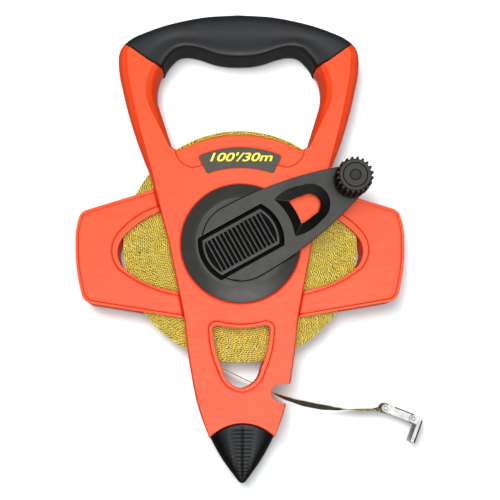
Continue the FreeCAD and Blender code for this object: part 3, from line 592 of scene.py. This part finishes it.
def free_tape():
    """The ribbon on edge, leaning a little between the notch and the hook."""
    path = route_points()
    # The ribbon's section, in halves of its thickness and width. Its first four sides are the dark face.
    across = [(-1, -1), (-1, -0.5), (-1, 0), (-1, 0.5), (-1, 0.965), (-0.5, 1), (0.5, 1),
              (1, 0.965), (1, 0.5), (1, 0), (1, -0.5), (1, -0.965), (0.5, -1), (-0.5, -1)]
    dark = 4
    count = len(across)
    last = len(path) - 1
    upright = Vector((0, 0, 1))
    points = []
    reach = 0.0
    for n, place in enumerate(path):
        before, after = path[max(n - 1, 0)], path[min(n + 1, last)]
        reach += (place - before).length / MM
        run = (after - before).normalized()
        level = Vector((-run.y, run.x, 0)).normalized()
        lean = math.radians(ramp(TAPE_LEAN, reach / TAPE_LENGTH))
        up = (upright * math.cos(lean) + level * math.sin(lean)).normalized()
        side = level * math.cos(lean) - upright * math.sin(lean)
        points += [place / MM + side * (t * TAPE_THICK / 2) + up * (w * TAPE_WIDTH / 2) for t, w in across]
    faces = []
    for n in range(last):
        faces += strip(n * count, (n + 1) * count, count, closed=True)
    faces.append(tuple(range(count)))
    faces.append(tuple(last * count + k for k in reversed(range(count))))
    tape = new_piece("free_tape", points, faces, "frame", TAPE_DARK, TAPE_EDGE)
    paint(tape, ([0] * dark + [1] * (count - dark)) * last + [1, 1])
    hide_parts("tape_tail")


def on_hook(x, y, z):
    """A point of the hook's own drawing, with its rivet at the origin, placed on the object."""
    angle = math.radians(HOOK_ANGLE)
    return (HOOK_PIN[0] + x * math.cos(angle) - y * math.sin(angle),
            HOOK_PIN[1] + x * math.sin(angle) + y * math.cos(angle), z)


def hook_bend_shades():
    """The bright hook's dark lines: a thin sheet of painted shade along the outer bend of the arm and of the
    claw.
    """
    cut = 0.2
    for name, node, body, x0, x1, y0, y1 in (
            ("arm_bend_shade", "hook_arm", "hook", 5.4, HOOK_ARM - 0.6, 2.35, 3.05),
            ("claw_bend_shade", "hook_claw", "claw", HOOK_ARM + 5.4, HOOK_ARM + 6.35, -14.3, 0.9)):
        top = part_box(node)[1].z / MM
        corners = [(x0 + cut, y0), (x1 - cut, y0), (x1, y0 + cut), (x1, y1), (x0, y1), (x0, y0 + cut)]
        points = [on_hook(x, y, top + lift) for lift in (0.005, 0.03) for x, y in corners]
        count = len(corners)
        faces = strip(0, count, count, closed=True)
        faces += [tuple(range(count, 2 * count)), tuple(reversed(range(count)))]
        new_piece(name, points, faces, body, PAINTED_SHADE_STEEL, smooth=False)


def hook_ring_shades():
    """A thin ring of painted shade round each rivet of the hook."""
    for name, node, at in (("pin_shade_ring", "hook_pin", 0.0), ("rivet_shade_ring", "claw_rivet", HOOK_ARM)):
        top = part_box(node)[1].z / MM
        rings = []
        for k in range(RING_SIDES):
            angle = 2 * math.pi * k / RING_SIDES
            rings.append([on_hook(at + r * math.cos(angle), r * math.sin(angle), top + lift)
                          for r, lift in RIVET_SHADE_RING])
        new_piece(name, *tube(rings, loop=True), "hook", PAINTED_SHADE_STEEL)


def winding():
    """The wound tape: ridges of turns on both sides, and the printed outer turn."""
    low, high = (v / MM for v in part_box("tape_winding"))
    outer = high.y - 0.2
    steps = int((outer - WINDING_INNER) / RIDGE_PITCH * RIDGE_STEPS)
    side = []
    for k in range(steps + 1):
        r = WINDING_INNER + (outer - WINDING_INNER) * k / steps
        swell = abs(math.sin(math.pi * r / RIDGE_PITCH)) ** 0.6
        side.append((r, 0.05 + RIDGE_DEPTH * (1 - swell)))
    profile = [(r, high.z - dip) for r, dip in side]
    profile += [(outer, high.z - 0.8), (outer, low.z + 0.8)]
    profile += [(r, low.z + dip) for r, dip in reversed(side)]
    rings = []
    for n in range(WINDING_AROUND):
        angle = 2 * math.pi * n / WINDING_AROUND
        rings.append([(r * math.cos(angle), r * math.sin(angle), z) for r, z in profile])
    coil = new_piece("wound_tape", *tube(rings, loop=True), "reel", WOVEN, TAPE_FACE)
    paint(coil, [int(steps <= k <= steps + 2) for k in range(len(profile))] * WINDING_AROUND)
    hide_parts("tape_winding")


# ---- the rubber parts ---------------------------------------------------------------------
def grip_section(span):
    """Half of the grip's section, from the middle of its underside over the front to its back:
    distance from the underside and height above the middle."""
    points = [(0.0, 0.0), (0.0, 0.25 * GRIP_HALF), (0.0, 0.5 * GRIP_HALF)]
    for k in range(9):
        a = math.pi / 2 * k / 8
        points.append((GRIP_UNDER_R * (1 - math.cos(a)), GRIP_HALF - GRIP_UNDER_R * (1 - math.sin(a)) * 1.35))
    for k in range(1, 8):
        t = k / 8
        d = GRIP_UNDER_R + (span - GRIP_UNDER_R - GRIP_OVER_R) * t
        points.append((d, GRIP_HALF - 0.35 * math.sin(math.pi * min(1.0, t * 1.2)) ** 2))
    for k in range(9):
        a = math.pi / 2 * k / 8
        points.append((span - GRIP_OVER_R * (1 - math.sin(a)),
                       GRIP_HALF - GRIP_OVER_R * (1 - math.cos(a)) * 1.2))
    points += [(span, 0.3 * GRIP_HALF), (span, 0.0)]
    return points


def grip_ring(side, under, over, near_end):
    """The whole section between a point of the underside and one of the back, on one side of the middle."""
    line = over - under
    span = line.length
    line.normalize()
    out = Vector((-line.y, line.x))
    half = grip_section(span)
    ring = []
    for d, z in [(d, MIDDLE + h) for d, h in half] + [(d, MIDDLE - h) for d, h in reversed(half[1:-1])]:
        bulge = GRIP_JOINT_BULGE * near_end * math.sin(math.pi * (d / span) ** 0.7)
        place = under + line * d + out * bulge
        ring.append((side * place.x, place.y, z))
    return ring


def grip():
    """The rubber sleeve: sections from the finger side to the back, fanning out to the slanted joints."""
    under = along(GRIP_UNDER, GRIP_SECTIONS)
    over = along(GRIP_OVER, GRIP_SECTIONS)
    stations = [(-1, k) for k in range(GRIP_SECTIONS - 1, 0, -1)] + [(1, k) for k in range(GRIP_SECTIONS)]
    rings = [grip_ring(side, under[k], over[k], (k / (GRIP_SECTIONS - 1)) ** 5) for side, k in stations]
    points, faces = tube(rings)
    # Each end is closed with quads between the front and the rear half of its ring.
    size = len(rings[0])
    for base, last in ((0, False), (len(points) - size, True)):
        for i in range(size // 2):
            quad = [base + i, base + i + 1, base + size - i - 1, base + (size - i) % size]
            quad = list(dict.fromkeys(quad))
            if len(quad) > 2:
                faces.append(tuple(quad if last else reversed(quad)))
    piece = new_piece("grip_sleeve", points, faces, "frame", RUBBER)
    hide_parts("handle_grip")


def nose_half_width(y):
    """The toe's half width at y: nearly straight from the joint's corners to the rounded tip."""
    if y < NOSE_TIP:
        return math.sqrt(max(0.0, NOSE_TIP_R ** 2 - (y - NOSE_TIP_CENTRE) ** 2))
    t = (NOSE_CORNER - y) / (NOSE_CORNER - NOSE_TIP)
    return NOSE_CORNER_HALF * (1 - t) + NOSE_TIP_HALF * t + NOSE_BULGE * math.sin(math.pi * t)


def nose_relief(x, y, v):
    """How deep the ribs and the middle groove are at a point of the toe, v of the way to its tip."""
    band = 10.0 * (1 - v) + 3.2 * v
    ribbed = held(1 - (abs(x) / band) ** 6) * held(12 * v) * held(12 * (0.94 - v))
    rib = abs(math.sin(math.pi * NOSE_RIBS * (NOSE_RIBS_FROM - y) / NOSE_RIBS_LONG)) ** 0.8
    groove = math.exp(-(x / NOSE_GROOVE_HALF) ** 2) * held(15 * v) * held(14 * (0.97 - v))
    return ribbed * NOSE_RIB * (1 - rib) + NOSE_GROOVE * groove


def nose():
    """The toe: smooth flanks, darkened by painted shade in its rubber, a ribbed band down the middle of each
    face and a groove along it.
    """
    rows, columns = 190, 72
    points, faces = [], []
    for side in (1, -1):
        for i in range(rows + 1):
            v = i / rows
            middle_y = NOSE_MIDDLE + (NOSE_END - NOSE_MIDDLE) * v
            edge_y = NOSE_CORNER + (NOSE_END - NOSE_CORNER) * v
            width = nose_half_width(edge_y)
            depth = 14.5 - 8.0 * v ** 1.25 - 4.0 * v ** 12
            for j in range(columns + 1):
                u = 2 * j / columns - 1
                x = u * width
                y = middle_y + (edge_y - middle_y) * u * u
                z = depth * (1 - abs(u) ** 2.6) ** 0.5 - nose_relief(x, y, v)
                points.append((x, y, MIDDLE + side * max(z, 0.0 if abs(u) == 1 else 0.02)))
    size = (rows + 1) * (columns + 1)
    for side in (0, 1):
        for i in range(rows):
            first = side * size + i * (columns + 1)
            row = strip(first, first + columns + 1, columns + 1)
            faces += row if side else [tuple(reversed(f)) for f in row]
    # The joint and the tip are closed with faces between the front and the rear side.
    last = rows * (columns + 1)
    for j in range(columns):
        faces.append((j, j + 1, size + j + 1, size + j))
        faces.append((last + j + 1, last + j, size + last + j, size + last + j + 1))
    piece = new_piece("nose_toe", points, faces, "frame", TOE_RUBBER)
    weld(piece)
    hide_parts("nose_cone")


# ---- the label's print --------------------------------------------------------------------
def label_text():
    curve = bpy.data.curves.new("label_print", "FONT")
    curve.body = LABEL_TEXT
    curve.size = LABEL_LETTER * MM
    curve.shear = 0.28
    curve.offset = 0.15 * MM
    curve.extrude = 0.04 * MM
    curve.align_x = "CENTER"
    curve.materials.append(INK)
    text = bpy.data.objects.new("label_print", curve)
    bpy.context.scene.collection.objects.link(text)
    text.location = Vector(LABEL_AT) * MM
    text.scale = (LABEL_STRETCH, 1.0, 1.0)
    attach(text, "frame")


# ---- the CAD nodes' finish ------------------------------------------------------------------
BEVEL_FROM = 42.0      # in degrees: edges flatter than this belong to curved walls
EDGES = {"front_frame_half": 0.35, "crank_disc": 0.25, "crank_arm": 0.35, "crank_pad": 0.28,
         "crank_knob": 0.25, "knob_cap": 0.25, "hook_claw": 0.15, "rear_hub_cap": 0.4, "knob_washer": 0.2,
         "drum_front": 0.3, "drum_rear": 0.3}
WELDED_ONLY = ("rear_frame_half", "hook_arm")
FINISHES = {"knob_pin": PIN, "crank_knob": KNOB, "knob_cap": KNOB, "crank_disc": DISC, "crank_pad": PAD,
            "tape_end_loop": TAPE_LOOP}


def merge_flats(obj):
    """Join the triangles of flat faces, so that the bevel meets whole edges."""
    merge = obj.modifiers.new("merge", "DECIMATE")
    merge.decimate_type = "DISSOLVE"
    merge.angle_limit = math.radians(0.5)


def round_edges(obj, width):
    bevel = obj.modifiers.new("bevel", "BEVEL")
    bevel.width = width * MM
    bevel.segments = 2
    bevel.limit_method = "ANGLE"
    bevel.angle_limit = math.radians(BEVEL_FROM)
    bevel.use_clamp_overlap = False
    bevel.miter_outer = "MITER_ARC"


def finish_nodes():
    """Weld and round the CAD nodes that show, and give some of them their own kind of material."""
    for name in (*EDGES, *WELDED_ONLY):
        weld(NODES[name])
    merge_flats(NODES["front_frame_half"])
    for name, width in EDGES.items():
        round_edges(NODES[name], width)
    for name, material in FINISHES.items():
        NODES[name].data.materials[0] = material


camera()
free_tape()
hook_bend_shades()
hook_ring_shades()
winding()
grip()
nose()
label_text()
finish_nodes()
lights(floor())
